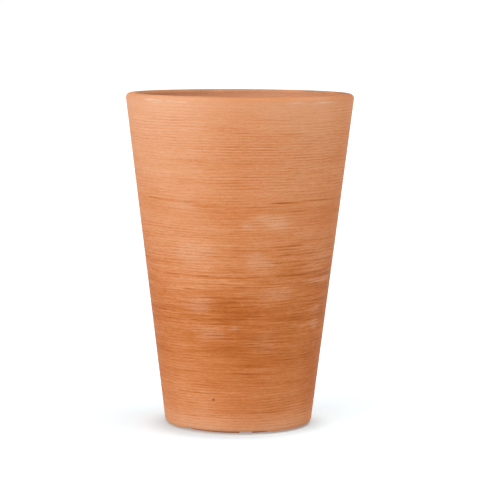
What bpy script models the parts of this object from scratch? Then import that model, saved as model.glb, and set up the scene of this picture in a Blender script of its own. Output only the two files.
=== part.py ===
"""Tall tapered terracotta pot, made of the pieces a potter joins while the clay is wet.

Units are metres, +Z is up. The origin is the middle of the footprint, on the surface
that the pot stands on, and the pot's front faces -Y.
"""

from math import asin, atan2, cos, hypot, pi, radians, sin

import bmesh
import bpy

# Whole pot
HEIGHT = 0.500
TOP_RADIUS = 0.1723  # the outer cone's radius in the plane of the lip's top
BASE_RADIUS = 0.1105  # the same cone's radius in the plane of the ground

# Wall
WALL_THICKNESS = 0.018  # measured level, the same from the base to the lip
LIP_OUTER_ROUND = 0.007
LIP_INNER_ROUND = 0.006
BASE_ROUND = 0.006

# Floor
FLOOR_THICKNESS = 0.020
DRAIN_HOLE_RADIUS = 0.015
DRAIN_HOLE_ROUND = 0.003

# Foot pads: a ring under the base, broken by drainage channels
FOOT_HEIGHT = 0.004
FOOT_OUTER_RADIUS = 0.097
FOOT_WIDTH = 0.028
FOOT_ROUND = 0.0015
CHANNEL_WIDTH = 0.0185
FRONT_CHANNEL_AZIMUTH = radians(-83.0)  # 7 degrees to the +X side of the front
FOOT_PADS = (  # counter-clockwise from the front channel, seen from above
    "foot_pad_front_right",
    "foot_pad_right",
    "foot_pad_back_right",
    "foot_pad_back_left",
    "foot_pad_left",
    "foot_pad_front_left",
)

# Joins and facets
JOIN_GAP = 0.0003  # between two pieces that touch
SEGMENTS = 96  # round the axis
SEGMENTS_PER_PAD = 13
ROUND_STEPS = 4  # facets on each rounded edge
SMOOTH_ANGLE = radians(40.0)

CLAY = (0.60, 0.23, 0.095, 1.0)
CLAY_INSIDE = (0.50, 0.17, 0.062, 1.0)
CLAY_UNDERSIDE = (0.42, 0.15, 0.060, 1.0)
CLAY_ROUGHNESS = 0.85


def outer_radius(z):
    """Radius of the pot's outer cone at height z."""
    return BASE_RADIUS + (TOP_RADIUS - BASE_RADIUS) * z / HEIGHT


def inner_radius(z):
    """Radius of the hollow's cone at height z."""
    return outer_radius(z) - WALL_THICKNESS


def rounded_corner(before, corner, after, radius):
    """Points of the arc that rounds `corner`, from the side of `before` to that of `after`."""
    arms = []
    for other in (before, after):
        length = hypot(other[0] - corner[0], other[1] - corner[1])
        arms.append(((other[0] - corner[0]) / length, (other[1] - corner[1]) / length))
    half_angle = atan2(
        abs(arms[0][0] * arms[1][1] - arms[0][1] * arms[1][0]),
        arms[0][0] * arms[1][0] + arms[0][1] * arms[1][1],
    ) / 2
    bisector = (arms[0][0] + arms[1][0], arms[0][1] + arms[1][1])
    to_centre = radius / sin(half_angle) / hypot(*bisector)
    centre = (corner[0] + bisector[0] * to_centre, corner[1] + bisector[1] * to_centre)
    reach = radius * cos(half_angle) / sin(half_angle)
    touches = [(corner[0] + arm[0] * reach, corner[1] + arm[1] * reach) for arm in arms]
    first, last = (atan2(y - centre[1], x - centre[0]) for x, y in touches)
    turn = (last - first + pi) % (2 * pi) - pi
    angles = [first + turn * step / ROUND_STEPS for step in range(ROUND_STEPS + 1)]
    return [(centre[0] + radius * cos(a), centre[1] + radius * sin(a)) for a in angles]


def rounded_outline(corners):
    """A closed outline from (radius, z, rounding) corners. Rounding 0 keeps a corner sharp."""
    outline = []
    for index, (x, z, rounding) in enumerate(corners):
        if rounding:
            before = corners[index - 1]
            after = corners[(index + 1) % len(corners)]
            outline += rounded_corner(before, (x, z), after, rounding)
        else:
            outline.append((x, z))
    return outline


def clay_material(name, colour):
    material = bpy.data.materials.new(name)
    material.use_nodes = True
    shader = material.node_tree.nodes["Principled BSDF"]
    shader.inputs["Base Color"].default_value = colour
    shader.inputs["Roughness"].default_value = CLAY_ROUGHNESS
    shader.inputs["Metallic"].default_value = 0.0
    return material


def add_piece(name, form, material):
    """Turns a bmesh into a named, smooth-shaded object of the scene."""
    bmesh.ops.recalc_face_normals(form, faces=form.faces)
    mesh = bpy.data.meshes.new(name)
    form.to_mesh(mesh)
    form.free()
    mesh.materials.append(material)
    mesh.shade_smooth()
    mesh.set_sharp_from_angle(angle=SMOOTH_ANGLE)
    piece = bpy.data.objects.new(name, mesh)
    bpy.context.scene.collection.objects.link(piece)
    return piece


def bridge_sections(form, sections, closed):
    """Joins neighbouring cross-sections with quads, the last to the first where closed."""
    pairs = list(zip(sections, sections[1:]))
    if closed:
        pairs.append((sections[-1], sections[0]))
    for near, far in pairs:
        for index in range(len(near)):
            following = (index + 1) % len(near)
            form.faces.new((near[index], near[following], far[following], far[index]))


def turned(name, outline, material):
    """A solid of revolution about Z from a closed (radius, z) outline."""
    form = bmesh.new()
    sections = []
    for segment in range(SEGMENTS):
        azimuth = 2 * pi * segment / SEGMENTS
        ring = [form.verts.new((r * cos(azimuth), r * sin(azimuth), z)) for r, z in outline]
        sections.append(ring)
    bridge_sections(form, sections, closed=True)
    return add_piece(name, form, material)


def make_wall(material):
    """The tapered wall: rounded lip above, soft outer edge below, open at both ends."""
    corners = [
        (outer_radius(HEIGHT), HEIGHT, LIP_OUTER_ROUND),
        (outer_radius(FOOT_HEIGHT), FOOT_HEIGHT, BASE_ROUND),
        (inner_radius(FOOT_HEIGHT), FOOT_HEIGHT, 0),
        (inner_radius(HEIGHT), HEIGHT, LIP_INNER_ROUND),
    ]
    return turned("wall", rounded_outline(corners), material)


def make_floor(material):
    """The slab inside the foot of the wall, flush with its underside, with the drain hole."""
    top = FOOT_HEIGHT + FLOOR_THICKNESS
    corners = [
        (inner_radius(top) - JOIN_GAP, top, 0),
        (inner_radius(FOOT_HEIGHT) - JOIN_GAP, FOOT_HEIGHT, 0),
        (DRAIN_HOLE_RADIUS, FOOT_HEIGHT, DRAIN_HOLE_ROUND),
        (DRAIN_HOLE_RADIUS, top, DRAIN_HOLE_ROUND),
    ]
    return turned("floor", rounded_outline(corners), material)


def make_foot_pad(name, first_azimuth, last_azimuth, material):
    """A pad of the foot ring between two channels, whose sides are parallel to the channel."""
    top = FOOT_HEIGHT - JOIN_GAP
    outline = rounded_outline(
        [
            (FOOT_OUTER_RADIUS, top, 0),
            (FOOT_OUTER_RADIUS, 0, FOOT_ROUND),
            (FOOT_OUTER_RADIUS - FOOT_WIDTH, 0, FOOT_ROUND),
            (FOOT_OUTER_RADIUS - FOOT_WIDTH, top, 0),
        ]
    )
    form = bmesh.new()
    sections = []
    for segment in range(SEGMENTS_PER_PAD + 1):
        share = segment / SEGMENTS_PER_PAD
        section = []
        for r, z in outline:
            channel_side = asin(CHANNEL_WIDTH / 2 / r)
            start = first_azimuth + channel_side
            azimuth = start + (last_azimuth - channel_side - start) * share
            section.append(form.verts.new((r * cos(azimuth), r * sin(azimuth), z)))
        sections.append(section)
    bridge_sections(form, sections, closed=False)
    form.faces.new(sections[0])
    form.faces.new(sections[-1])
    return add_piece(name, form, material)


def main():
    for leftover in list(bpy.data.objects):
        bpy.data.objects.remove(leftover)

    make_wall(clay_material("wall_clay", CLAY))
    make_floor(clay_material("floor_clay", CLAY_INSIDE))
    pad_angle = 2 * pi / len(FOOT_PADS)
    for index, name in enumerate(FOOT_PADS):
        first_azimuth = FRONT_CHANNEL_AZIMUTH + index * pad_angle
        pad_clay = clay_material(name + "_clay", CLAY_UNDERSIDE)
        make_foot_pad(name, first_azimuth, first_azimuth + pad_angle, pad_clay)


main()
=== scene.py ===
"""The looks of the tapered terracotta pot: thrown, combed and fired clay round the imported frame.

Units are metres and +Z is up, as in the frame. Heights are above the ground, and azimuths
are in degrees from the pot's front (-Y), positive towards +X.
"""

import math
import random

import bpy
import numpy as np
from mathutils import Matrix, Vector, noise


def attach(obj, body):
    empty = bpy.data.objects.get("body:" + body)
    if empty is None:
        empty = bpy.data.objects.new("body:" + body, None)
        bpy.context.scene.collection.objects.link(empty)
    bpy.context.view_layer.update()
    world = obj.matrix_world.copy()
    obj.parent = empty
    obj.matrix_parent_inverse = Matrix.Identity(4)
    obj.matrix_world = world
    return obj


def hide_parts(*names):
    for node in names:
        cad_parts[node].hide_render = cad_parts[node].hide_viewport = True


SEED = 20

# Camera
CAMERA_AT = Vector((0.0013, -3.1853, 0.6152))
CAMERA_AIM = Vector((0.0013, 0.0, 0.2775))
CAMERA_ROLL = math.radians(0.338)
CAMERA_LENS = 158.87  # mm, on a sensor 36 mm wide

# Studio
FLOOR_RADIUS = 30.0
FLOOR_SIDES = 64
FLOOR_COLOUR = (0.70, 0.80, 0.84, 1.0)
FLOOR_ROUGHNESS = 0.9
# The floor's glow dips in a ring round the pot's base, a painted shadow, and rises again under the base
FLOOR_GLOW = 0.28  # the white floor is lit from below as well
FLOOR_GLOW_LEAST = 0.10  # in the ring that the pot's base shades
SHADE_MIDDLE = (0.0, -0.020, 0.0)
SHADE_OUTER = (0.105, 0.150)  # where the ring starts and stops to fade, outward
SHADE_INNER = (0.110, 0.100)  # and inward
HORIZON_STRENGTH = 1.03
LEFT_SKY_STRENGTH = 0.42
RIGHT_SKY_STRENGTH = 0.58
SKY_HORIZON_TOP = 0.07  # sine of the elevation up to which the sky is as bright as the horizon
SKY_ZENITH_FROM = 0.30  # sine of the elevation from which it has its zenith strength

# Meshes
COLUMNS = 150
OUTER_STEP = 0.00105
EDGE_STEP = 0.0011
INNER_STEP = 0.0032
SLAB_STEP = 0.0025
PAD_VOXEL = 0.0011
SKIN = 0.00008  # how far the clay's surface lies inside the CAD solid, below its own relief

# Noise that wraps round a turned piece
NOISE_STEP = 0.0005
LINE_SPREAD = 0.30  # how far the spacing of combed lines strays from their period
BAKE_MARGIN = 0.004  # share of the bake map left free at each border

# Noises of the outside: how long they are round the axis, and how thick or how far apart up
# the wall, in metres
WAVE_NOISE = {"long": 0.060, "thick": 0.030}
SHORT_COMB_NOISE = {"long": 0.007, "period": 0.0040}
LONG_COMB_NOISE = {"long": 0.036, "period": 0.0043}
RIB_BEND_NOISE = {"long": 0.070, "thick": 0.012}
RIB_FADE_NOISE = {"long": 0.050, "thick": 0.010}
STREAK_NOISE = {"long": 0.018, "thick": 0.0018}
DRIFT_NOISE = {"long": 0.060, "thick": 0.0100}
BREAK_NOISE = {"long": 0.006, "thick": 0.0020}
BLOT_NOISE = {"long": 0.012, "thick": 0.0050}
DRAG_NOISE = {"long": 0.024, "thick": 0.0011}
CLOUD_NOISE = {"long": 0.090, "thick": 0.024}
UNEVEN_NOISE = {"long": 0.12, "thick": 0.40}

# How strongly each of them works
WAVE_HEIGHT = 0.0012
RIB_BEND = 0.0010
RIB_FADE = 0.45
SHORT_COMB = 0.78
LONG_COMB = 0.62
COMB_SKEW = 0.24  # makes the grooves deeper than the ridges are high
COMB_TONE = 0.052
STREAK_TONE = 0.030
DRIFT_TONE = 0.022
CLOUD_TONE = 0.022
POWDER_AND_HIGHLIGHT_TONE = 0.3
COMB_RELIEF = 0.00010
RIB_RELIEF = 0.0020
LINE_RELIEF = 0.0010
LINE_BREAKS = 0.3
RAGGED_BLOTS = 0.26
RAGGED_COMB = 0.12
RAGGED_BREAKS = 0.10
POWDER_COMB = 0.15
DRAG_RANGE = (-0.6, 1.2)  # of the drag noise, from no streak to a full one
DEEP_LEAST = 0.35  # share of a deep patch that lies between its streaks
DEEP_DRAGGED = 1.1
GRIME_BLOTS = 0.3

# How the outside changes with height. Tone 0 is bare, deep clay and 1 is the palest.
ZONE_HEIGHTS = (
    0, 0.02, 0.035, 0.075, 0.125, 0.175, 0.225, 0.275, 0.325, 0.375, 0.42, 0.46, 0.488, 0.497, 0.5
)
# The pale band at the base is partly the clay's own colour and partly painted light, the bounce from
# the white floor
ZONE_TONES = (0.88, 0.78, 0.58, 0.43, 0.35, 0.34, 0.47, 0.57, 0.60, 0.68, 0.71, 0.76, 0.85, 0.82, 0.76)
ZONE_GRAIN = (0.8, 0.9, 1.0, 1.1, 1.25, 1.5, 1.3, 1.25, 0.85, 0.95, 1.0, 0.9, 0.5, 0.3, 0.2)
ZONE_GRIME = (0.10, 0.0, 0.0, 0.0, 0.0, 0.0, 0.0, 0.0, 0.0, 0.0, 0.0, 0.0, 0.0, 0.03, 0.20)
ZONE_RIBS = (0.0, 0.06, 0.07, 0.03, 0.015, 0.01, 0.015, 0.02, 0.035, 0.055, 0.075, 0.08, 0.03, 0.0, 0.0)
ZONE_STREAKS = (0.4, 0.5, 0.8, 1.3, 1.4, 1.6, 1.6, 1.3, 1.0, 0.9, 0.7, 0.5, 0.2, 0.1, 0.1)

RIB_PITCH = 0.0042  # of the turning marks that run right round

# Painted light by azimuth: paler on the left front, where the key light's sheen falls, and darker at
# the front and on the right, which get less of it
SIDE_AZIMUTHS = (0, 25, 45, 65, 90, 140, 200, 280, 300, 315, 335, 360)
PAINTED_SIDE_LIGHT_TONES = (-0.10, -0.05, -0.04, -0.17, -0.14, 0.0, 0.02, 0.0, 0.04, 0.09, 0.05, -0.10)

# Dark drag lines on the front: height in mm, first and last azimuth, depth of tone,
# half thickness in mm, and how much higher the two ends are than the middle, in mm
DRAG_LINES = (
    (359, -58, -45, 0.12, 0.9, 0),
    (350, -62, -21, 0.32, 1.1, 1),
    (346, -40, -8, 0.16, 1.0, 0),
    (348, 13, 36, 0.32, 1.2, 0),
    (349, 34, 80, 0.30, 1.1, 1),
    (337, -47, 15, 0.13, 0.8, 0),
    (324, 42, 67, 0.14, 0.9, 0),
    (335, 27, 41, 0.14, 0.9, 0),
    (292, -80, -30, 0.10, 1.0, 1),
    (288, 35, 80, 0.20, 1.1, 1),
    (283, 19, 49, 0.22, 1.1, 0),
    (277, -13, 20, 0.13, 0.8, 0),
    (268, -66, -18, 0.20, 0.9, 1),
    (268, 18, 33, 0.30, 1.2, 0),
    (257, 20, 41, 0.22, 1.4, 0),
    (256, 45, 85, 0.28, 1.4, 1),
    (251, 25, 47, 0.24, 1.6, 0),
    (236, -78, 85, 0.34, 1.1, 5),
    (236, 6, 52, 0.18, 1.3, 1),
    (232, 40, 85, 0.30, 1.5, 0),
    (216, -37, -24, 0.22, 0.9, 0),
    (216, 47, 80, 0.18, 1.0, 0),
    (204, -18, 22, 0.18, 0.9, 0),
    (195, -47, -5, 0.18, 1.1, 1),
    (195, 23, 57, 0.18, 0.9, 0),
    (191, -20, 14, 0.20, 1.3, 0),
    (183, -22, 12, 0.24, 1.6, 0),
    (182, -80, -41, 0.18, 1.1, 1),
    (178, -12, 16, 0.20, 1.4, 0),
    (173, -37, 13, 0.26, 1.2, 1),
    (151, -42, -21, 0.14, 0.9, 0),
    (126, -47, -7, 0.12, 1.0, 0),
    (102, -7, 33, 0.15, 1.1, 0),
    (84, -80, -57, 0.16, 1.0, 0),
    (75, 7, 75, 0.18, 1.2, 1),
    (73, -48, -5, 0.12, 0.9, 0),
    (32, 2, 41, 0.16, 1.1, 0),
    (27, -60, -11, 0.12, 1.0, 0),
)

# Patches on the front: height and azimuth of the middle, half height in mm, half width in
# degrees, and strength. Powdery ones are pale and dry, deep ones were wiped smooth while wet.
# The last powdery ones, along the lip, are pale scuffs with painted highlights on them.
POWDERY_AND_HIGHLIGHT_PATCHES = (
    (318, 20, 12, 11, 0.21),
    (312, 4, 8, 8, 0.15),
    (258, 11, 15, 9, 0.13),
    (212, 19, 9, 15, 0.12),
    (266, -29, 20, 18, 0.11),
    (345, -33, 14, 10, 0.11),
    (192, -25, 13, 12, 0.15),
    (156, -20, 14, 9, 0.11),
    (161, -2, 6, 5, 0.13),
    (263, 60, 26, 14, 0.08),
    (227, 60, 4, 12, 0.17),
    (186, 60, 8, 6, 0.13),
    (158, 59, 9, 6, 0.17),
    (132, 63, 7, 5, 0.11),
    (145, 14, 16, 12, 0.06),
    # The last eight lie along the lip's outer edge: pale scuffs with painted highlights on them,
    # brightest on the left where the key light falls
    (493.5, -50, 1.2, 4, 0.85),
    (493.0, -43, 0.9, 3, 0.72),
    (492.5, -36, 0.9, 3, 0.58),
    (492.0, -30, 1.0, 4, 0.55),
    (490.0, -47, 0.8, 6, 0.35),
    (491.5, 30, 1.0, 7, 0.40),
    (491.5, 45, 1.2, 8, 0.45),
    (489.5, 38, 0.8, 12, 0.28),
)
DEEP_PATCHES = (
    (186, -4, 19, 18, 0.18),
    (262, 36, 26, 18, 0.10),
    (240, 40, 14, 22, 0.14),
    (35, 20, 26, 30, 0.06),
    (95, 13, 36, 9, 0.06),
    (225, -60, 16, 20, 0.08),
    (466, -8, 24, 26, 0.09),
    (330, 44, 60, 20, 0.05),
    (400, -27, 40, 16, 0.06),
    (498, 5, 6, 40, 0.10),
)

# The same kinds of mark, scattered round the rest of the wall
LOOSE_LINES = 120
LINE_AZIMUTHS = (75.0, 285.0)
LINE_HALF_LENGTHS = (5.0, 26.0)  # degrees
LINE_HEIGHTS = (15.0, 400.0, 230.0)  # mm: lowest, highest and most usual
LINE_DEPTHS = (0.08, 0.28)
LINE_HALF_THICKNESSES = (0.8, 1.5)  # mm
LINE_RISES = (0, 2)  # mm
LINE_TILTS = (-1.0, 1.0)  # mm
LOOSE_POWDERY = 16
LOOSE_POWDERY_STRENGTHS = (0.06, 0.16)
LOOSE_DEEP = 10
LOOSE_DEEP_STRENGTHS = (0.06, 0.18)
PATCH_HEIGHTS = (20.0, 400.0, 200.0)  # mm: lowest, highest and most usual
PATCH_AZIMUTHS = (82.0, 278.0)
PATCH_HALF_HEIGHTS = (8.0, 26.0)  # mm
PATCH_HALF_WIDTHS = (8.0, 22.0)  # degrees

# Small pits left by grit that burnt or fell out: azimuth, height, radius
PITS = (
    (-18.0, 0.0525, 0.0020),
    (57.0, 0.3860, 0.0013),
    (121.0, 0.1240, 0.0018),
    (168.0, 0.2950, 0.0015),
    (-139.0, 0.4180, 0.0014),
    (-96.0, 0.0900, 0.0017),
)

# Grime rubbed into the rim's inner edge
RIM_GRIME = 0.34
RIM_GRIME_DEPTH = 0.009
RIM_GRIME_FADE = 0.003

# Inside of the wall: finger rings of the throwing, and tone by height
RING_PITCH = 0.017
RING_DEPTH = 0.00030
INSIDE_HEIGHTS = (0.02, 0.20, 0.42, 0.49)
INSIDE_TONES = (0.42, 0.52, 0.74, 0.86)
# Painted shade: the inside's left, which the key light doesn't reach, is made darker
INSIDE_PAINTED_SHADE_SIDE = (-95.0, 60.0, 0.30)  # azimuth, half width and depth of a darker side
UNDERSIDE_TONE = 0.40
INSIDE_GRAIN = 0.6
INSIDE_POWDER = 0.06
INSIDE_GRIME = 0.04
RING_TONE = 0.03
RING_FADE = 0.35
RING_WOBBLE = 0.0030
INSIDE_STREAK_TONE = 0.035
RING_WOBBLE_NOISE = {"long": 0.20, "thick": 0.030}
RING_FADE_NOISE = {"long": 0.080, "thick": 0.020}
INSIDE_STREAK_NOISE = {"long": 0.040, "thick": 0.0016}
INSIDE_BLOT_NOISE = {"long": 0.030, "thick": 0.020}

# Underside of the wall
UNDERSIDE_GRAIN = 0.7
CUT_TONE = 0.05
CUT_NOISE = {"long": 0.020, "thick": 0.0012}
UNDERSIDE_BLOT_NOISE = {"long": 0.015, "thick": 0.006}

# The base's outer edge, which sags a little except at the front
BASE_SAG = 0.0020
SAG_FREE_MIDDLE = -12.0
SAG_FREE_HALF = 30.0
SAG_FROM_HEIGHT = 0.005
SAG_TO_HEIGHT = 0.016
SAG_INNER_RADIUS = 0.098
SAG_SIDE_FADE = 12.0
SAG_INNER_FADE = 0.006

# The lip's unevenness: how far it leans in and dips, and from which height
LIP_LEAN = 0.0004
LIP_LEAN_FROM = 0.30
LIP_DIP = 0.0006
LIP_DIP_FROM = 0.46

# Floor slab
SPIRAL_PITCH = 0.011
SPIRAL_DEPTH = 0.00035
SLIP_FILLET = 0.004  # how high the slip in the corner climbs the wall
SLIP_WIDTH = 0.011
BURR_HEIGHT = 0.0007  # clay pushed up round the drain hole
BURR_WIDTH = 0.0022
BURR_BLOTS = 0.4
SPIRAL_WOBBLE = 0.0015
SPIRAL_TONE = 0.03
SLAB_GRAIN = 0.6
SLAB_STREAK_TONE = 0.04
SLIP_BLOTS = 0.0010
HOLE_BLOTS = 0.0003
HOLE_GRIME = 0.30
SLAB_GRIME = 0.10
SLAB_BLOT_NOISE = {"long": 0.020, "thick": 0.008}
SLAB_STREAK_NOISE = {"long": 0.030, "thick": 0.0016}
SPIRAL_WOBBLE_NOISE = {"long": 0.10, "thick": 0.020}

# Foot pads
PAD_TOP = 0.0043  # pressed a little into the base above
PAD_LUMPS = 0.0005
PAD_WEAR = 0.5
PAD_WEAR_ROUNDS = 5
PAD_TONE = 0.42
PAD_GRAIN = 0.5
PAD_POWDER = 0.10
PAD_GRIME = 0.35  # on the face that stands on the ground
PAD_GRIME_FALL = 80.0  # how much less there is for each metre above the ground

# Patterns in the clay's shader: width round the axis and height of their blobs, in metres
STROKES = (0.011, 0.0017)
SCRATCHES = (0.005, 0.0008)
SAND = (0.0017, 0.0014)
CLOUDS = (0.0035, 0.0022)
GRIT_SPACING = 0.0095
GRIT_RADIUS = 0.0007

# How much each pattern changes the tone, and how high it stands in the bump
# The holes' dark tone is painted shade inside the pits
PATTERN_TONES = {"strokes": 0.34, "scratches": 0.16, "sand": 0.28, "grit": -0.22, "holes": -0.75}
PATTERN_HEIGHTS = {"strokes": 1.0, "scratches": 0.5, "sand": 0.4, "grit": 0.3, "holes": -3.0}
BUMP_DISTANCE = 0.0005
POWDER_CLOUDS = 2.4
GRIME_CLOUDS = 1.6
DEEP_ROUGHNESS = 0.50
PALE_ROUGHNESS = 0.72
CLAY_IOR = 1.12

# Clay colours from deep to pale, and the pale colour of powder on dry patches, which is also that of
# the painted highlights along the lip
CLAY_COLOURS = (
    (0.00, (0.36, 0.090, 0.018)),
    (0.25, (0.45, 0.130, 0.032)),
    (0.50, (0.54, 0.185, 0.065)),
    (0.75, (0.62, 0.265, 0.125)),
    (1.00, (0.69, 0.340, 0.200)),
)
POWDER_AND_HIGHLIGHT_COLOUR = (0.69, 0.46, 0.32, 1.0)
GRIME_COLOUR = (0.28, 0.145, 0.072, 1.0)


def smooth_step(low, high, values):
    """0 below low, 1 above high, and an S-shaped curve between them."""
    share = np.clip((values - low) / (high - low), 0.0, 1.0)
    return share * share * (3.0 - 2.0 * share)


# ---------------------------------------------------------------- sections of the CAD nodes


def turned_section(name):
    """The (radius, height) points of a turned CAD node's convex section, in order round it."""
    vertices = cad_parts[name].data.vertices
    points = {(round(math.hypot(v.co.x, v.co.y), 5), round(v.co.z, 5)) for v in vertices}
    points = np.array(sorted(points))
    middle = points.mean(0)
    turn = np.arctan2(points[:, 1] - middle[1], points[:, 0] - middle[0])
    return points[np.argsort(turn)]


def side_lines(section):
    """The outer and the inner straight side of a wall's section, each as (lower, upper) point."""
    following = np.roll(section, -1, axis=0)
    longest = np.argsort(np.hypot(*(following - section).T))[-2:]
    sides = []
    for index in longest:
        ends = sorted((tuple(section[index]), tuple(following[index])), key=lambda p: p[1])
        sides.append(ends)
    sides.sort(key=lambda ends: -ends[0][0])
    return sides


def on_line(ends, height):
    """Radius at a height on the straight line through two (radius, height) points."""
    (low_radius, low), (high_radius, high) = ends
    return low_radius + (high_radius - low_radius) * (height - low) / (high - low)


def straight(start, end, step):
    """Points from start up to, but not including, end."""
    count = max(1, round(math.dist(start, end) / step))
    shares = np.arange(count)[:, None] / count
    return np.array(start) + (np.array(end) - np.array(start)) * shares


def rounded(before, corner, after, reach):
    """Arc round a corner that touches both arms `reach` from it, without its last point."""
    corner = np.array(corner)
    arms = [np.array(other) - corner for other in (before, after)]
    arms = [arm / np.hypot(*arm) for arm in arms]
    half_angle = math.acos(float(arms[0] @ arms[1])) / 2
    radius = reach * math.tan(half_angle)
    bisector = arms[0] + arms[1]
    centre = corner + bisector / np.hypot(*bisector) * radius / math.sin(half_angle)
    first, last = (math.atan2(*(corner + arm * reach - centre)[::-1]) for arm in arms)
    turn = (last - first + math.pi) % (2 * math.pi) - math.pi
    count = max(3, round(abs(turn) * radius / EDGE_STEP))
    angles = first + turn * np.arange(count) / count
    return centre + radius * np.stack([np.cos(angles), np.sin(angles)], 1)


def labelled(parts):
    """Joins (label, points) parts into one path, with the label of each point."""
    labels = np.concatenate([[label] * len(points) for label, points in parts])
    return np.concatenate([points for _, points in parts]), labels


def wall_path():
    """Dense closed path round the wall's section: up the outside and down the inside."""
    section = turned_section("wall")
    (base_touch, lip_touch), inner = side_lines(section)
    outer = (base_touch, lip_touch)
    low, high = section[:, 1].min(), section[:, 1].max()
    base_outer = (on_line(outer, low), low)
    lip_outer = (on_line(outer, high), high)
    lip_inner = (on_line(inner, high), high)
    base_inner = (on_line(inner, low), low)
    base_reach = math.dist(base_touch, base_outer)
    outer_reach = math.dist(lip_touch, lip_outer)
    inner_reach = math.dist(inner[1], lip_inner)
    top_start = (lip_outer[0] - outer_reach, high)
    top_end = (lip_inner[0] + inner_reach, high)
    under_end = (base_outer[0] - base_reach, low)
    return labelled(
        [
            ("outside", rounded(base_inner, base_outer, lip_outer, base_reach)),
            ("outside", straight(base_touch, lip_touch, OUTER_STEP)),
            ("lip", rounded(base_outer, lip_outer, lip_inner, outer_reach)),
            ("lip", straight(top_start, top_end, EDGE_STEP)),
            ("lip", rounded(lip_outer, lip_inner, base_inner, inner_reach)),
            ("inside", straight(inner[1], base_inner, INNER_STEP)),
            ("under", straight(base_inner, under_end, SLAB_STEP)),
        ]
    )


def slab_path():
    """Dense closed path round the floor slab's section, which ends at the drain hole."""
    section = turned_section("floor")
    low, high = section[:, 1].min(), section[:, 1].max()
    on_top, on_bottom = section[section[:, 1] == high], section[section[:, 1] == low]
    hole = section[:, 0].min()
    reach = on_top[:, 0].min() - hole
    bottom_outer = (on_bottom[:, 0].max(), low)
    top_outer = (on_top[:, 0].max(), high)
    hole_top = (hole, high)
    hole_bottom = (hole, low)
    return labelled(
        [
            ("edge", straight(bottom_outer, top_outer, SLAB_STEP)),
            ("top", straight(top_outer, (hole + reach, high), SLAB_STEP)),
            ("hole", rounded(top_outer, hole_top, hole_bottom, reach)),
            ("hole", straight((hole, high - reach), (hole, low + reach), SLAB_STEP)),
            ("hole", rounded(hole_top, hole_bottom, bottom_outer, reach)),
            ("under", straight((hole + reach, low), bottom_outer, SLAB_STEP)),
        ]
    )


# ---------------------------------------------------------------- turned meshes


class TurnedGrid:
    """A closed (radius, height) path turned round the axis: one mesh row for each point.

    Its arrays have a value for each row and column, and its noise wraps over it both ways.
    """

    def __init__(self, path, seed):
        steps = np.hypot(*(np.roll(path, -1, axis=0) - path).T)
        self.length = float(steps.sum())
        self.places = np.concatenate([[0.0], np.cumsum(steps)[:-1]])
        self.rows = len(path)
        self.radius = np.repeat(path[:, :1], COLUMNS, 1)
        self.height = np.repeat(path[:, 1:], COLUMNS, 1)
        self.turn = 2 * math.pi * np.arange(COLUMNS)[None, :] / COLUMNS
        self.azimuths = np.degrees(self.turn) + 90.0
        self.random = np.random.default_rng(seed)
        self.noise_rows = int(round(self.length / NOISE_STEP))
        self.column_step = 2 * math.pi * float(path[:, 0].mean()) / COLUMNS

    def noise(self, long, thick=None, period=None, wave=0.0):
        """Unit noise, blurred over `long` metres round the axis. Along the path it is either
        blurred over `thick` metres or made of lines about one `period` apart. `wave` moves
        each point's place along the path, in metres."""
        raw = self.random.standard_normal((self.noise_rows, COLUMNS))
        up = np.abs(np.fft.fftfreq(self.noise_rows, d=NOISE_STEP))[:, None]
        around = np.fft.fftfreq(COLUMNS, d=self.column_step)[None, :]
        if period:
            passed = np.exp(-0.5 * ((up * period - 1.0) / LINE_SPREAD) ** 2)
        else:
            passed = np.exp(-2 * (math.pi * up * thick) ** 2)
        passed = passed * np.exp(-2 * (math.pi * around * long) ** 2)
        field = np.fft.ifft2(np.fft.fft2(raw) * passed).real
        field = (field - field.mean()) / field.std()
        steps = (self.places[:, None] + wave + np.zeros((1, COLUMNS))) / NOISE_STEP
        low = np.floor(steps).astype(int)
        columns = np.arange(COLUMNS)[None, :]
        lower = field[low % self.noise_rows, columns]
        upper = field[(low + 1) % self.noise_rows, columns]
        return lower + (upper - lower) * (steps - low)

    def vertices(self, out, lift):
        """The mesh's points, moved `out` from the axis and `lift` up from the path."""
        radius = self.radius + out
        points = np.empty((self.rows, COLUMNS, 3))
        points[..., 0] = radius * np.cos(self.turn)
        points[..., 1] = radius * np.sin(self.turn)
        points[..., 2] = self.height + lift
        return points.reshape(-1, 3)

    def faces(self):
        """Quads that join each row to the next and the last row to the first."""
        row = np.arange(self.rows)[:, None]
        column = np.arange(COLUMNS)[None, :]
        next_row, next_column = (row + 1) % self.rows, (column + 1) % COLUMNS
        quads = [row * COLUMNS + column, row * COLUMNS + next_column]
        quads += [next_row * COLUMNS + next_column, next_row * COLUMNS + column]
        quads = [np.broadcast_to(quad, (self.rows, COLUMNS)) for quad in quads]
        return np.stack(quads, -1).reshape(-1, 4)

    def unroll(self, piece):
        """Gives the piece its bake map: azimuth across and distance along the path upward."""
        layer = piece.data.uv_layers.new(name="OFBake")
        row_ends = np.append(self.places, self.length) / self.length
        column_ends = np.arange(COLUMNS + 1) / COLUMNS
        left, right = column_ends[:-1], column_ends[1:]
        low, high = row_ends[:-1], row_ends[1:]
        corners = np.empty((self.rows, COLUMNS, 4, 2))
        corners[..., 0] = np.stack([left, right, right, left], 1)[None]
        corners[..., 1] = np.stack([low, low, high, high], 1)[:, None]
        corners = BAKE_MARGIN + (1.0 - 2.0 * BAKE_MARGIN) * corners
        layer.data.foreach_set("uv", corners.astype(np.float32).ravel())


def blurred(mask, rows):
    """A mask over a closed path, ramped over this odd number of rows at each change."""
    wrapped = np.pad(mask.astype(float), rows // 2, mode="wrap")
    return np.convolve(wrapped, np.ones(rows) / rows, "valid")[:, None]


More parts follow.
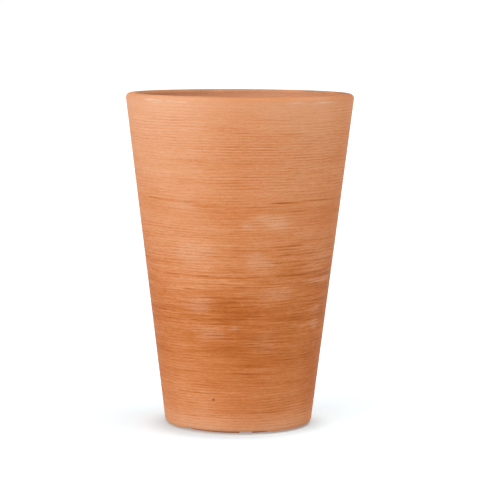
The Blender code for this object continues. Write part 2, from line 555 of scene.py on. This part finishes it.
def stand_for(piece, cad_node, material):
    """Puts a piece of clay in a CAD node's place, on the one body of the pot."""
    piece.data.materials.clear()
    piece.data.materials.append(material)
    piece.data.shade_smooth()
    bpy.context.scene.collection.objects.link(piece)
    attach(piece, "root")
    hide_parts(cad_node)


def paint(piece, **fields):
    """Stores fields with one number for each vertex, which the material reads by name."""
    for name, values in fields.items():
        stored = piece.data.attributes.new(name, "FLOAT", "POINT")
        stored.data.foreach_set("value", np.asarray(values, np.float32).ravel())


def turned_piece(name, grid, out, lift):
    """A mesh object of the grid, moved out and up, with its bake map."""
    mesh = bpy.data.meshes.new(name)
    mesh.from_pydata(grid.vertices(out, lift).tolist(), [], grid.faces().tolist())
    mesh.update()
    piece = bpy.data.objects.new(name, mesh)
    grid.unroll(piece)
    return piece


# ---------------------------------------------------------------- materials


def node(tree, kind, settings=None, **inputs):
    """Adds a shader node. Inputs are values or the output sockets that feed them, named by
    the socket with _ for a space, or by _ and the socket's number."""
    made = tree.nodes.new(kind)
    for name, value in (settings or {}).items():
        setattr(made, name, value)
    for name, value in inputs.items():
        numbered = name[1:].isdigit()
        socket = made.inputs[int(name[1:])] if numbered else made.inputs[name.replace("_", " ")]
        if isinstance(value, bpy.types.NodeSocket):
            tree.links.new(value, socket)
        else:
            socket.default_value = value
    return made


def calculate(tree, operation, first, second):
    """Result of a maths node on two values or sockets."""
    return node(tree, "ShaderNodeMath", {"operation": operation}, _0=first, _1=second).outputs[0]


def add(tree, *terms):
    total = terms[0]
    for term in terms[1:]:
        total = calculate(tree, "ADD", total, term)
    return total


def times(tree, first, second):
    return calculate(tree, "MULTIPLY", first, second)


def weighted(tree, patterns, weights):
    """Sum of the named patterns, each times its weight."""
    return add(tree, *(times(tree, patterns[name], share) for name, share in weights.items()))


def attribute(tree, name):
    return node(tree, "ShaderNodeAttribute", {"attribute_name": name}).outputs["Fac"]


def stretched_noise(tree, size, detail=1.0):
    """Noise centred on 0, with blobs of this (width, height) in metres."""
    across, up = size
    place = node(tree, "ShaderNodeTexCoord")
    scale = (1.0 / across, 1.0 / across, 1.0 / up)
    mapping = node(tree, "ShaderNodeMapping", Vector=place.outputs["Object"], Scale=scale)
    moved = mapping.outputs["Vector"]
    made = node(tree, "ShaderNodeTexNoise", Vector=moved, Scale=1.0, Detail=detail)
    return calculate(tree, "SUBTRACT", made.outputs["Fac"], 0.5)


def fading(tree, distance, full_to, none_from):
    """1 up to a distance `full_to`, 0 from `none_from` on, and a smooth fall between."""
    ranges = {"_1": full_to, "_2": none_from, "_3": 1.0, "_4": 0.0}
    smooth = {"interpolation_type": "SMOOTHSTEP"}
    return node(tree, "ShaderNodeMapRange", smooth, _0=distance, **ranges).outputs["Result"]


def specks(tree, spacing, radius):
    """1 in scattered specks of this radius, about one in each cube of the spacing."""
    place = node(tree, "ShaderNodeTexCoord")
    cells = node(tree, "ShaderNodeTexVoronoi", Vector=place.outputs["Object"], Scale=1.0 / spacing)
    share = radius / spacing
    return fading(tree, cells.outputs["Distance"], 0.6 * share, share)


def pits(tree, places):
    """1 inside small round pits at these places, each with its own radius."""
    surface = node(tree, "ShaderNodeTexCoord").outputs["Object"]
    total = 0.0
    for place, radius in places:
        apart = node(tree, "ShaderNodeVectorMath", {"operation": "DISTANCE"}, _0=surface, _1=place)
        pit = fading(tree, apart.outputs["Value"], 0.35 * radius, radius)
        total = calculate(tree, "MAXIMUM", total, pit)
    return total


def mixed(tree, share, colour, other):
    """The colour, with this share of it replaced by the other."""
    blend = {"data_type": "RGBA"}
    return node(tree, "ShaderNodeMix", blend, _0=share, _6=colour, _7=other).outputs[2]


def clay_material(name, pit_spots=()):
    """Fired clay, from the attributes tone (deep 0 to pale 1), grain (how strongly it was
    combed), and powder and grime (how much of each lies on it). Along the lip the pale powder value
    also carries painted highlights."""
    material = bpy.data.materials.new(name)
    material.use_nodes = True
    tree = material.node_tree
    shader = tree.nodes["Principled BSDF"]
    grain = attribute(tree, "grain")
    patterns = {
        "strokes": times(tree, stretched_noise(tree, STROKES, detail=2.0), grain),
        "scratches": times(tree, stretched_noise(tree, SCRATCHES), grain),
        "sand": stretched_noise(tree, SAND),
        "grit": specks(tree, GRIT_SPACING, GRIT_RADIUS),
        "holes": pits(tree, pit_spots),
    }
    tone = add(tree, attribute(tree, "tone"), weighted(tree, patterns, PATTERN_TONES))
    ramp = node(tree, "ShaderNodeValToRGB", Fac=tone)
    elements = ramp.color_ramp.elements
    while len(elements) < len(CLAY_COLOURS):
        elements.new(0.5)
    for element, (place, colour) in zip(elements, CLAY_COLOURS):
        element.position = place
        element.color = (*colour, 1.0)

    clouds = stretched_noise(tree, CLOUDS, detail=2.0)
    cloudy = add(tree, times(tree, clouds, POWDER_CLOUDS), 1.0)
    powder = times(tree, attribute(tree, "powder"), cloudy)
    cloudy = add(tree, times(tree, clouds, GRIME_CLOUDS), 1.0)
    grime = times(tree, attribute(tree, "grime"), cloudy)
    colour = mixed(tree, powder, ramp.outputs["Color"], POWDER_AND_HIGHLIGHT_COLOUR)
    colour = mixed(tree, grime, colour, GRIME_COLOUR)
    tree.links.new(colour, shader.inputs["Base Color"])

    ranges = {"_1": 0.0, "_2": 1.0, "_3": DEEP_ROUGHNESS, "_4": PALE_ROUGHNESS}
    roughness = node(tree, "ShaderNodeMapRange", _0=tone, **ranges)
    tree.links.new(roughness.outputs["Result"], shader.inputs["Roughness"])
    shader.inputs["IOR"].default_value = CLAY_IOR
    raised = weighted(tree, patterns, PATTERN_HEIGHTS)
    bump = node(tree, "ShaderNodeBump", Height=raised, Strength=1.0, Distance=BUMP_DISTANCE)
    tree.links.new(bump.outputs["Normal"], shader.inputs["Normal"])
    return material


# ---------------------------------------------------------------- marks on the wall


def degrees_apart(azimuths, centre):
    """Signed angle from the centre, between -180 and 180."""
    return (azimuths - centre + 180.0) % 360.0 - 180.0


def loose_lines(chance):
    """Drag lines scattered over the sides and the back."""
    lines = []
    for _ in range(LOOSE_LINES):
        middle = chance.uniform(*LINE_AZIMUTHS)
        half = chance.uniform(*LINE_HALF_LENGTHS)
        height = chance.triangular(*LINE_HEIGHTS)
        depth = chance.uniform(*LINE_DEPTHS)
        half_thickness = chance.uniform(*LINE_HALF_THICKNESSES)
        rise = chance.uniform(*LINE_RISES)
        lines.append((height, middle - half, middle + half, depth, half_thickness, rise))
    return lines


def loose_patches(chance, count, strengths):
    """Patches scattered over the sides and the back."""
    patches = []
    for _ in range(count):
        height = chance.triangular(*PATCH_HEIGHTS)
        azimuth = chance.uniform(*PATCH_AZIMUTHS)
        half_height = chance.uniform(*PATCH_HALF_HEIGHTS)
        half_width = chance.uniform(*PATCH_HALF_WIDTHS)
        strength = chance.uniform(*strengths)
        patches.append((height, azimuth, half_height, half_width, strength))
    return patches


def drag_lines(chance, height, azimuths):
    """Depth of tone of every drag line, tapered to both ends and slightly bowed."""
    total = np.zeros(height.shape)
    for middle, first, last, depth, half_thickness, rise in (*DRAG_LINES, *loose_lines(chance)):
        apart = degrees_apart(azimuths, (first + last) / 2) / ((last - first) / 2)
        ends = np.clip(np.abs(apart), 0.0, 1.0)
        bow = rise * ends**2 + chance.uniform(*LINE_TILTS) * np.clip(apart, -1.0, 1.0)
        off = (height * 1000 - middle - bow) / half_thickness
        total = np.maximum(total, depth * (1.0 - ends**4) * np.exp(-(off**2)))
    return total


def patch_field(patches, height, azimuths, ragged):
    """Strength of the strongest patch at each point, with ragged edges."""
    total = np.zeros(height.shape)
    for middle, centre, half_height, half_width, strength in patches:
        apart = degrees_apart(azimuths, centre) / half_width
        off = (height * 1000 - middle) / half_height
        within = smooth_step(-0.2, 1.0, 1.1 - np.hypot(apart, off) + ragged)
        total = np.maximum(total, strength * within)
    return total


def by_height(height, values):
    """One of the ZONE tables, read at these heights."""
    return np.interp(height, ZONE_HEIGHTS, values)


def rim_grime(grid):
    """Grime on the inner edge of the rim, where hands and pot stacks rub it in."""
    top = grid.height.max()
    middle = grid.radius[grid.height > top - 0.0001].mean()
    upper = smooth_step(top - RIM_GRIME_DEPTH, top - 0.5 * RIM_GRIME_DEPTH, grid.height)
    return RIM_GRIME * upper * smooth_step(middle, middle - RIM_GRIME_FADE, grid.radius)


def outside_looks(grid):
    """Fields of the combed outside, and the relief of its combing and drag lines."""
    wave = WAVE_HEIGHT * grid.noise(**WAVE_NOISE)
    height, azimuths = grid.height, grid.azimuths
    short = grid.noise(**SHORT_COMB_NOISE, wave=wave)
    long = grid.noise(**LONG_COMB_NOISE, wave=wave)
    comb = SHORT_COMB * short + LONG_COMB * long
    comb -= COMB_SKEW * (comb**2 - 1.0)
    bent = RIB_BEND * grid.noise(**RIB_BEND_NOISE)
    ribs = np.sin(2 * math.pi * (grid.places[:, None] + bent) / RIB_PITCH)
    ribs *= by_height(height, ZONE_RIBS) * (1.0 + RIB_FADE * grid.noise(**RIB_FADE_NOISE))
    streak = grid.noise(**STREAK_NOISE, wave=wave)
    drift = grid.noise(**DRIFT_NOISE, wave=wave)
    broken = grid.noise(**BREAK_NOISE, wave=wave)
    blots = grid.noise(**BLOT_NOISE, wave=wave)
    dragged = smooth_step(*DRAG_RANGE, grid.noise(**DRAG_NOISE, wave=wave))

    chance = random.Random(SEED)
    lines = drag_lines(chance, height + wave, azimuths) * (1.0 + LINE_BREAKS * broken)
    loose_powdery = loose_patches(chance, LOOSE_POWDERY, LOOSE_POWDERY_STRENGTHS)
    loose_deep = loose_patches(chance, LOOSE_DEEP, LOOSE_DEEP_STRENGTHS)
    ragged = RAGGED_BLOTS * blots + RAGGED_COMB * comb + RAGGED_BREAKS * broken
    # Pale powder patches, and painted highlights along the lip
    powder = patch_field((*POWDERY_AND_HIGHLIGHT_PATCHES, *loose_powdery), height, azimuths, ragged)
    powder *= 1.0 + POWDER_COMB * comb
    deepened = patch_field((*DEEP_PATCHES, *loose_deep), height, azimuths, ragged)
    deepened *= DEEP_LEAST + DEEP_DRAGGED * dragged

    grain = by_height(height, ZONE_GRAIN)
    streaks = by_height(height, ZONE_STREAKS)
    # Painted light: the key light's sheen on the left front, and shade at the front and on the right
    painted_side_light = np.interp(azimuths % 360.0, SIDE_AZIMUTHS, PAINTED_SIDE_LIGHT_TONES)
    tone = by_height(height, ZONE_TONES) + painted_side_light + POWDER_AND_HIGHLIGHT_TONE * powder - deepened - lines
    tone += ribs + COMB_TONE * grain * comb
    tone += streaks * (STREAK_TONE * streak + DRIFT_TONE * drift)
    tone += CLOUD_TONE * grid.noise(**CLOUD_NOISE)
    relief = COMB_RELIEF * grain * comb + RIB_RELIEF * ribs - LINE_RELIEF * lines
    grime = (by_height(height, ZONE_GRIME) + rim_grime(grid)) * (1.0 + GRIME_BLOTS * blots)
    return {"tone": tone, "grain": grain, "powder": powder, "grime": grime, "out": relief}


def inside_looks(grid):
    """Fields of the thrown inside, and the relief of its spiral of finger rings."""
    wobble = RING_WOBBLE * grid.noise(**RING_WOBBLE_NOISE)
    rings = np.sin(2 * math.pi * (grid.height + wobble) / RING_PITCH + grid.turn)
    streak = grid.noise(**INSIDE_STREAK_NOISE)
    rings = rings * (1.0 + RING_FADE * grid.noise(**RING_FADE_NOISE))
    tone = np.interp(grid.height, INSIDE_HEIGHTS, INSIDE_TONES)
    tone += RING_TONE * rings + INSIDE_STREAK_TONE * streak
    # Painted shade on the inside's left, away from the key light
    middle, half_width, depth = INSIDE_PAINTED_SHADE_SIDE
    apart = np.abs(degrees_apart(grid.azimuths, middle)) / half_width
    tone -= depth * smooth_step(1.0, 0.0, apart)
    blots = grid.noise(**INSIDE_BLOT_NOISE)
    powder = np.clip(INSIDE_POWDER * blots, 0.0, 1.0)
    grime = np.clip(-INSIDE_GRIME * blots, 0.0, 1.0)
    out = RING_DEPTH * rings
    return {"tone": tone, "grain": INSIDE_GRAIN, "powder": powder, "grime": grime, "out": out}


def underside_looks(grid):
    """Fields of the cut underside."""
    cut = grid.noise(**CUT_NOISE)
    blots = grid.noise(**UNDERSIDE_BLOT_NOISE)
    powder = np.clip(0.10 + 0.10 * blots, 0.0, 1.0)
    grime = np.clip(0.12 - 0.08 * blots, 0.0, 1.0)
    tone = UNDERSIDE_TONE + CUT_TONE * cut
    grain = UNDERSIDE_GRAIN
    return {"tone": tone, "grain": grain, "powder": powder, "grime": grime, "out": 0.0}


def blend_looks(looks_and_shares):
    """Mixes the fields of several kinds of surface by the share that each has at a point."""
    names = looks_and_shares[0][0].keys()
    return {name: sum(looks[name] * share for looks, share in looks_and_shares) for name in names}


def base_sag(grid):
    """How far the outer edge of the base hangs below its CAD solid: nowhere at the front,
    where the gap above the ground shows."""
    off_middle = np.abs(degrees_apart(grid.azimuths, SAG_FREE_MIDDLE))
    sides = smooth_step(SAG_FREE_HALF, SAG_FREE_HALF + SAG_SIDE_FADE, off_middle)
    edge = smooth_step(SAG_TO_HEIGHT, SAG_FROM_HEIGHT, grid.height)
    outer = smooth_step(SAG_INNER_RADIUS, SAG_INNER_RADIUS + SAG_INNER_FADE, grid.radius)
    return BASE_SAG * sides * edge * outer


def pit_places():
    """Where each pit lies on the wall's outer side, with its radius."""
    outer = side_lines(turned_section("wall"))[0]
    places = []
    for azimuth, height, radius in PITS:
        turn = math.radians(azimuth - 90.0)
        out_to = on_line(outer, height)
        places.append(((out_to * math.cos(turn), out_to * math.sin(turn), height), radius))
    return places


def make_wall():
    """The wall: combed outside with a soft lip, thrown inside and cut underside."""
    path, labels = wall_path()
    grid = TurnedGrid(path, SEED)
    inside = blurred(labels == "inside", 9)
    under = blurred(labels == "under", 3)
    looks = blend_looks(
        [
            (outside_looks(grid), 1.0 - inside - under),
            (inside_looks(grid), inside),
            (underside_looks(grid), under),
        ]
    )
    uneven = np.clip(0.5 + 0.25 * grid.noise(**UNEVEN_NOISE), 0.0, 1.0)
    top = grid.height.max()
    lean = LIP_LEAN * uneven * smooth_step(LIP_LEAN_FROM, top, grid.height)
    dip = LIP_DIP * uneven * smooth_step(LIP_DIP_FROM, top, grid.height)
    out = looks.pop("out") - SKIN - lean
    piece = turned_piece("clay_wall", grid, out, -dip - base_sag(grid))
    stand_for(piece, "wall", clay_material("wall_clay", pit_places()))
    paint(piece, **looks)


# ---------------------------------------------------------------- the floor slab and the feet


def make_slab():
    """The slab: finger spiral on top, slip smeared into the corner, a burr round the hole."""
    path, labels = slab_path()
    grid = TurnedGrid(path, SEED + 1)
    on_top = (labels == "top")[:, None]
    in_hole = (labels == "hole")[:, None]
    rim = grid.radius.max()
    hole = grid.radius.min()
    blots = grid.noise(**SLAB_BLOT_NOISE)
    streak = grid.noise(**SLAB_STREAK_NOISE)

    wobble = SPIRAL_WOBBLE * grid.noise(**SPIRAL_WOBBLE_NOISE)
    spiral = np.sin(2 * math.pi * (grid.radius + wobble) / SPIRAL_PITCH - grid.turn)
    slip = smooth_step(rim - SLIP_WIDTH, rim, grid.radius + SLIP_BLOTS * blots) ** 2
    burr = BURR_HEIGHT * np.exp(-(((grid.radius - hole - BURR_WIDTH) / BURR_WIDTH) ** 2))
    raised = SPIRAL_DEPTH * spiral + SLIP_FILLET * slip + burr * (1.0 + BURR_BLOTS * blots)
    lift = np.where(on_top, raised, 0.0)
    out = np.where(in_hole, HOLE_BLOTS * blots, 0.0)

    piece = turned_piece("clay_floor", grid, out, lift)
    stand_for(piece, "floor", clay_material("floor_clay"))
    tone = np.where(on_top, INSIDE_TONES[0] + SPIRAL_TONE * spiral, UNDERSIDE_TONE)
    tone += SLAB_STREAK_TONE * streak
    powder = np.clip(0.08 + 0.10 * blots, 0.0, 1.0)
    grime = np.clip(np.where(in_hole, HOLE_GRIME, SLAB_GRIME) - 0.06 * blots, 0.0, 1.0)
    grain = np.full(tone.shape, SLAB_GRAIN)
    paint(piece, tone=tone, grain=grain, powder=powder, grime=grime)


def lumps(place, size, seed):
    """Smooth noise between about -1 and 1 with lumps of this size."""
    return noise.noise(Vector(place) / size + Vector((seed, 0.0, 0.0)))


def pressed_pad(cad_node, seed):
    """A copy of a foot pad's solid with its edges worn round and its faces uneven."""
    pad = bpy.data.objects.new("pad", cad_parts[cad_node].data.copy())
    bpy.context.scene.collection.objects.link(pad)
    remesh = pad.modifiers.new("even", "REMESH")
    remesh.mode = "VOXEL"
    remesh.voxel_size = PAD_VOXEL
    worn = pad.modifiers.new("worn", "SMOOTH")
    worn.factor = PAD_WEAR
    worn.iterations = PAD_WEAR_ROUNDS
    depsgraph = bpy.context.evaluated_depsgraph_get()
    mesh = bpy.data.meshes.new_from_object(pad.evaluated_get(depsgraph))
    bpy.data.objects.remove(pad)
    top = max(vertex.co.z for vertex in mesh.vertices)
    for vertex in mesh.vertices:
        flat = Vector((vertex.co.x, vertex.co.y, 0.0))
        swell = PAD_LUMPS * (lumps(flat, 0.012, seed) + 0.5 * lumps(vertex.co, 0.004, seed))
        vertex.co += flat.normalized() * swell
        share = vertex.co.z / top
        vertex.co.z = max(0.0, share * PAD_TOP + (1.0 - share) * 0.5 * swell)
    return mesh


def make_pad(cad_node, seed, material):
    """One foot pad, dirtiest where it stands on the ground."""
    mesh = pressed_pad(cad_node, seed)
    piece = bpy.data.objects.new("clay_" + cad_node, mesh)
    stand_for(piece, cad_node, material)
    places = [vertex.co for vertex in mesh.vertices]
    low_grime = [PAD_GRIME - PAD_GRIME_FALL * place.z for place in places]
    tone = [PAD_TONE + 0.14 * lumps(place, 0.010, seed + 7) for place in places]
    powder = [PAD_POWDER + 0.20 * lumps(place, 0.006, seed) for place in places]
    uneven = [0.15 * lumps(place, 0.008, seed + 3) for place in places]
    grime = np.add(low_grime, uneven)
    paint(
        piece,
        tone=tone,
        grain=np.full(len(places), PAD_GRAIN),
        powder=np.clip(powder, 0.0, 1.0),
        grime=np.clip(grime, 0.0, 1.0),
    )


def make_pads():
    material = clay_material("foot_clay")
    cad_nodes = sorted(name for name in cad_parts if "foot_pad" in name)
    for seed, cad_node in enumerate(cad_nodes):
        make_pad(cad_node, seed, material)


# ---------------------------------------------------------------- studio


def make_camera():
    """The camera, rolled a little about the line it looks along."""
    camera_data = bpy.data.cameras.new("camera")
    camera_data.lens = CAMERA_LENS
    camera = bpy.data.objects.new("camera", camera_data)
    bpy.context.scene.collection.objects.link(camera)
    forward = (CAMERA_AIM - CAMERA_AT).normalized()
    level = forward.cross(Vector((0, 0, 1))).normalized()
    upright = level.cross(forward)
    across = math.cos(CAMERA_ROLL) * level + math.sin(CAMERA_ROLL) * upright
    up = math.cos(CAMERA_ROLL) * upright - math.sin(CAMERA_ROLL) * level
    turn = Matrix((across, up, -forward)).transposed().to_4x4()
    camera.matrix_world = Matrix.Translation(CAMERA_AT) @ turn
    bpy.context.scene.camera = camera


def add_light(name, azimuth, elevation, spread, power):
    """A soft light so far off that it is even everywhere, `spread` degrees across."""
    light_data = bpy.data.lights.new(name, "SUN")
    light_data.angle = math.radians(spread)
    light_data.energy = power
    light = bpy.data.objects.new(name, light_data)
    bpy.context.scene.collection.objects.link(light)
    turn, rise = math.radians(azimuth), math.radians(elevation)
    level = math.cos(rise)
    towards = Vector((math.sin(turn) * level, -math.cos(turn) * level, math.sin(rise)))
    light.rotation_mode = "QUATERNION"
    light.rotation_quaternion = towards.to_track_quat("Z", "Y")


def floor_glow(tree, middle, distances):
    """The floor's glow, which rises from its least to its most between two distances: its low part is a
    painted shadow.
    """
    surface = node(tree, "ShaderNodeNewGeometry").outputs["Position"]
    apart = node(tree, "ShaderNodeVectorMath", {"operation": "DISTANCE"}, _0=surface, _1=middle)
    ranges = {"_1": distances[0], "_2": distances[1], "_3": FLOOR_GLOW_LEAST, "_4": FLOOR_GLOW}
    smooth = {"interpolation_type": "SMOOTHSTEP"}
    made = node(tree, "ShaderNodeMapRange", smooth, _0=apart.outputs["Value"], **ranges)
    return made.outputs["Result"]


def make_studio_floor():
    """The white floor, with a painted shadow: less glow in the ring round the pot's base."""
    circle = {"vertices": FLOOR_SIDES, "radius": FLOOR_RADIUS, "fill_type": "NGON"}
    bpy.ops.mesh.primitive_circle_add(**circle)
    floor = bpy.context.object
    floor.name = "studio_floor"
    material = bpy.data.materials.new("studio_floor")
    material.use_nodes = True
    shader = material.node_tree.nodes["Principled BSDF"]
    shader.inputs["Base Color"].default_value = FLOOR_COLOUR
    shader.inputs["Roughness"].default_value = FLOOR_ROUGHNESS
    shader.inputs["Emission Color"].default_value = (1.0, 1.0, 1.0, 1.0)
    tree = material.node_tree
    outward = floor_glow(tree, SHADE_MIDDLE, SHADE_OUTER)
    inward = floor_glow(tree, (0.0, 0.0, 0.0), SHADE_INNER)
    glow = calculate(tree, "MAXIMUM", outward, inward)
    tree.links.new(glow, shader.inputs["Emission Strength"])
    floor.data.materials.append(material)


def make_sky():
    """A white horizon all round, and a dimmer sky above it that differs left and right."""
    world = bpy.data.worlds.new("studio")
    bpy.context.scene.world = world
    world.use_nodes = True
    tree = world.node_tree
    background = tree.nodes["Background"]
    background.inputs["Color"].default_value = (1.0, 1.0, 1.0, 1.0)
    direction = node(tree, "ShaderNodeTexCoord")
    split = node(tree, "ShaderNodeSeparateXYZ", _0=direction.outputs["Generated"])
    sides = {"_1": -1.0, "_2": 1.0, "_3": LEFT_SKY_STRENGTH, "_4": RIGHT_SKY_STRENGTH}
    zenith = node(tree, "ShaderNodeMapRange", _0=split.outputs["X"], **sides)
    strength = node(
        tree,
        "ShaderNodeMapRange",
        {"interpolation_type": "SMOOTHSTEP"},
        _0=split.outputs["Z"],
        _1=SKY_HORIZON_TOP,
        _2=SKY_ZENITH_FROM,
        _3=HORIZON_STRENGTH,
        _4=zenith.outputs["Result"],
    )
    tree.links.new(strength.outputs["Result"], background.inputs["Strength"])


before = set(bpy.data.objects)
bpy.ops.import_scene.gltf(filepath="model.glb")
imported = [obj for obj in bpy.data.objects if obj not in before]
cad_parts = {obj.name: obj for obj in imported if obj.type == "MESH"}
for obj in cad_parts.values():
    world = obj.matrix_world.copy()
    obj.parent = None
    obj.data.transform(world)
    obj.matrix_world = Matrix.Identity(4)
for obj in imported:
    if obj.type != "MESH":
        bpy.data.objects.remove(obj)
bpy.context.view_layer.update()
bpy.context.scene.view_settings.view_transform = "Standard"

make_camera()
make_sky()
make_studio_floor()
add_light("key", azimuth=-48, elevation=32, spread=60, power=1.6)
add_light("overhead", azimuth=80, elevation=76, spread=50, power=1.5)
make_wall()
make_slab()
make_pads()
